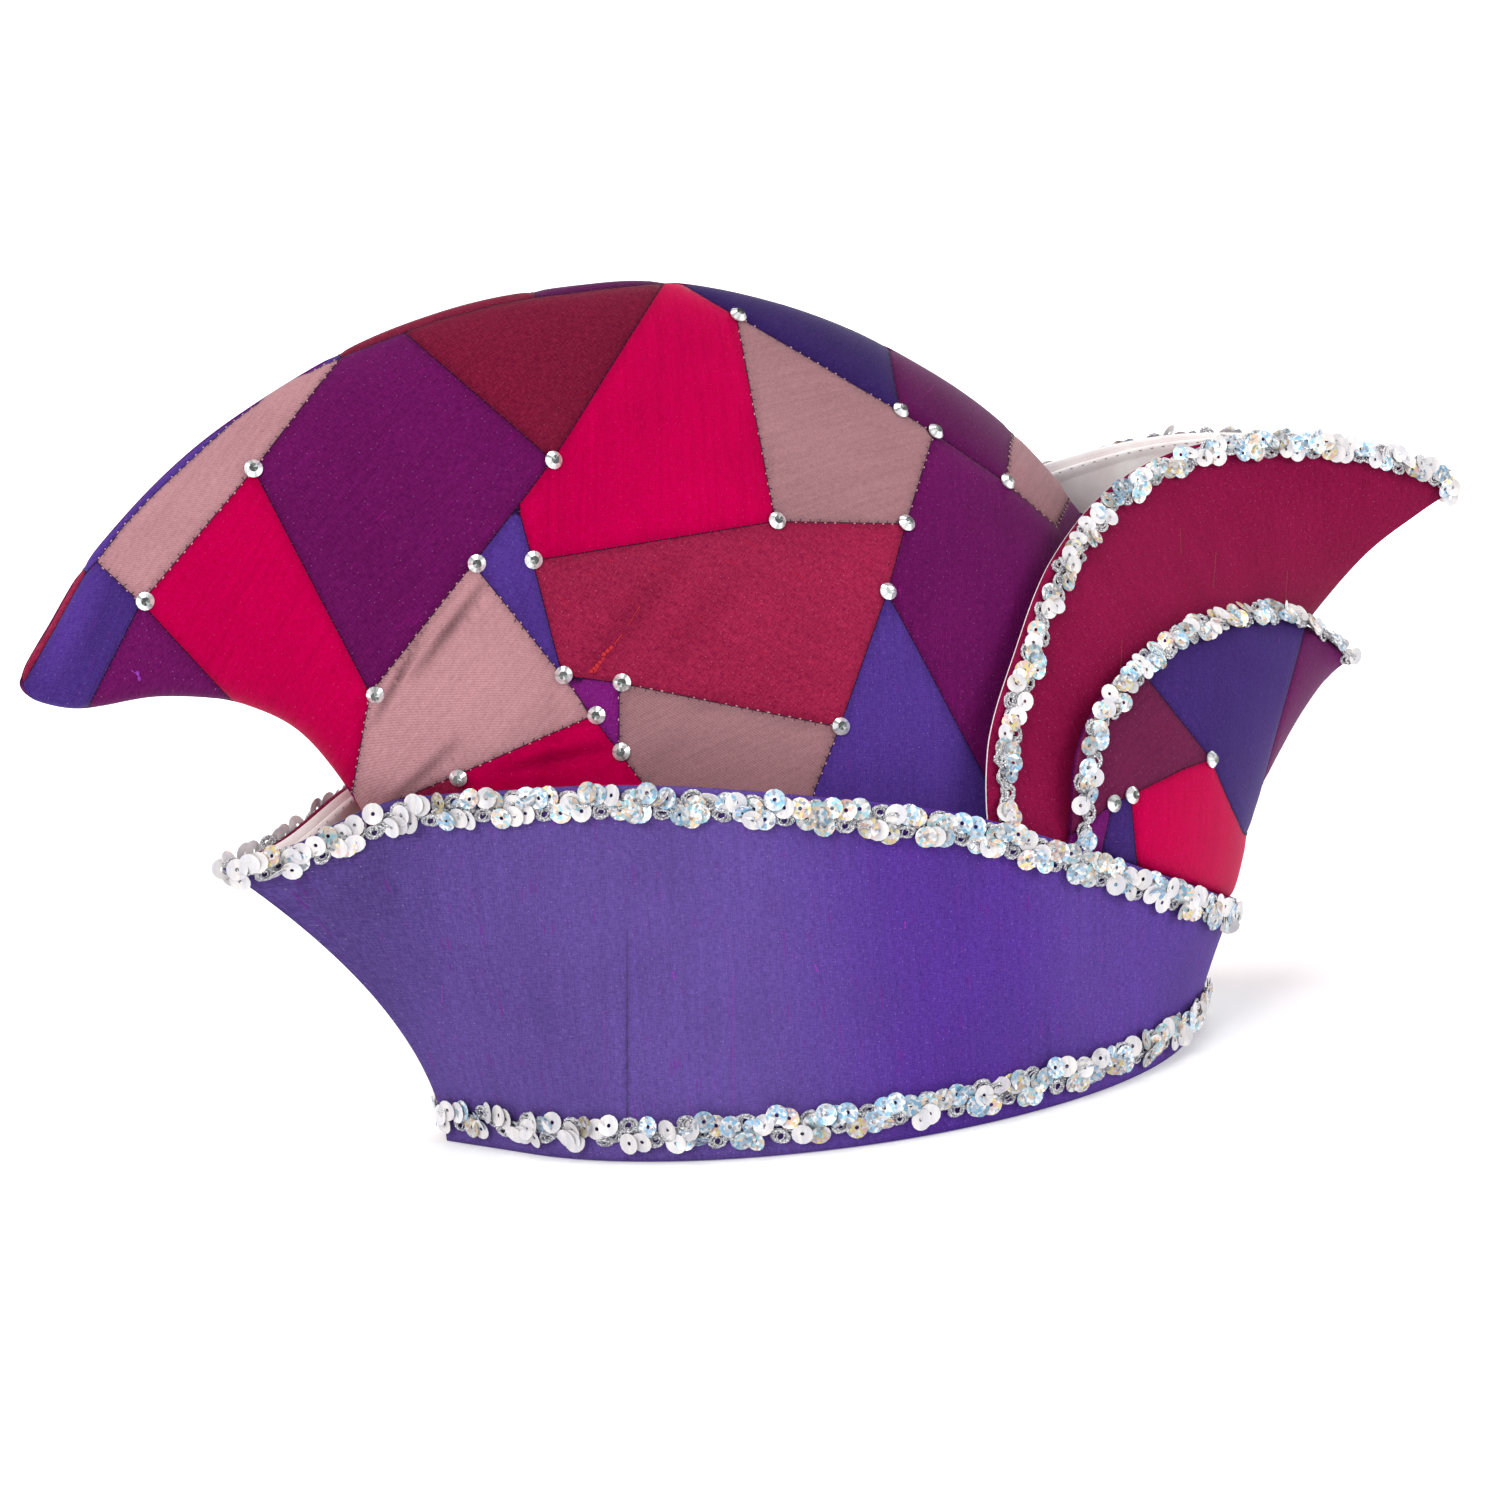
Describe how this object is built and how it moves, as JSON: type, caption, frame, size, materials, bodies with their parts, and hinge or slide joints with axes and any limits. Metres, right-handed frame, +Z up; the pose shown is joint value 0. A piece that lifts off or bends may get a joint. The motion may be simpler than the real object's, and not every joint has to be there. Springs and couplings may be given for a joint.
{
  "type": "carnival cap",
  "caption": "Stiff carnival cap: padded patchwork crest with a rear point, flared band with a rear beak, and nested front fins edged with sequin braid.",
  "frame": {"origin": "centre of the head opening at the level of the rim it rests on, which is also the middle of the bottom of the bounding box", "axes": "+X to the front of the cap, where the fins are, +Y to the wearer's left, +Z up"},
  "size_m": [0.4279, 0.1716, 0.2212],
  "materials": {
    "patchwork_silk": "shot silk patchwork in raspberry, plum, crimson, indigo and mauve, soft sheen",
    "violet_silk": "violet slub silk, soft sheen",
    "red_silk": "crimson slub silk, soft sheen",
    "white_lining": "matt white lining",
    "sequin_trim": "pearl and silver sequins on a silver braid",
    "rhinestone": "cut glass with a foiled back"
  },
  "bodies": {
    "root": {"crown_right": "patchwork_silk", "band_right": "violet_silk", "band_lining_right": "white_lining", "tall_fin_right": "red_silk", "tall_fin_lining_right": "white_lining", "small_fin_right": "patchwork_silk", "band_top_trim_right": "sequin_trim", "band_rim_trim_right": "sequin_trim", "tall_fin_trim_right": "sequin_trim", "small_fin_trim_right": "sequin_trim", "crown_left": "patchwork_silk", "band_left": "red_silk", "band_lining_left": "white_lining", "tall_fin_left": "red_silk", "tall_fin_lining_left": "white_lining", "small_fin_left": "patchwork_silk", "band_top_trim_left": "sequin_trim", "band_rim_trim_left": "sequin_trim", "tall_fin_trim_left": "sequin_trim", "small_fin_trim_left": "sequin_trim", "crown_stone_right_1": "rhinestone", "crown_stone_right_2": "rhinestone", "crown_stone_right_3": "rhinestone", "crown_stone_right_4": "rhinestone", "crown_stone_right_5": "rhinestone", "crown_stone_right_6": "rhinestone", "crown_stone_right_7": "rhinestone", "crown_stone_right_8": "rhinestone", "crown_stone_right_9": "rhinestone", "crown_stone_right_10": "rhinestone", "crown_stone_right_11": "rhinestone", "crown_stone_right_12": "rhinestone", "crown_stone_right_13": "rhinestone", "crown_stone_right_14": "rhinestone", "crown_stone_right_15": "rhinestone", "crown_stone_right_16": "rhinestone", "crown_stone_right_17": "rhinestone", "crown_stone_right_18": "rhinestone", "crown_stone_right_19": "rhinestone", "crown_stone_left_1": "rhinestone", "crown_stone_left_2": "rhinestone", "crown_stone_left_3": "rhinestone", "crown_stone_left_4": "rhinestone", "crown_stone_left_5": "rhinestone", "crown_stone_left_6": "rhinestone", "crown_stone_left_7": "rhinestone", "crown_stone_left_8": "rhinestone", "crown_stone_left_9": "rhinestone", "crown_stone_left_10": "rhinestone", "crown_stone_left_11": "rhinestone", "crown_stone_left_12": "rhinestone", "crown_stone_left_13": "rhinestone", "fin_stone_right_1": "rhinestone", "fin_stone_right_2": "rhinestone", "fin_stone_right_3": "rhinestone", "fin_stone_right_4": "rhinestone", "fin_stone_left_1": "rhinestone", "fin_stone_left_2": "rhinestone", "fin_stone_left_3": "rhinestone"}
  },
  "joints": []
}
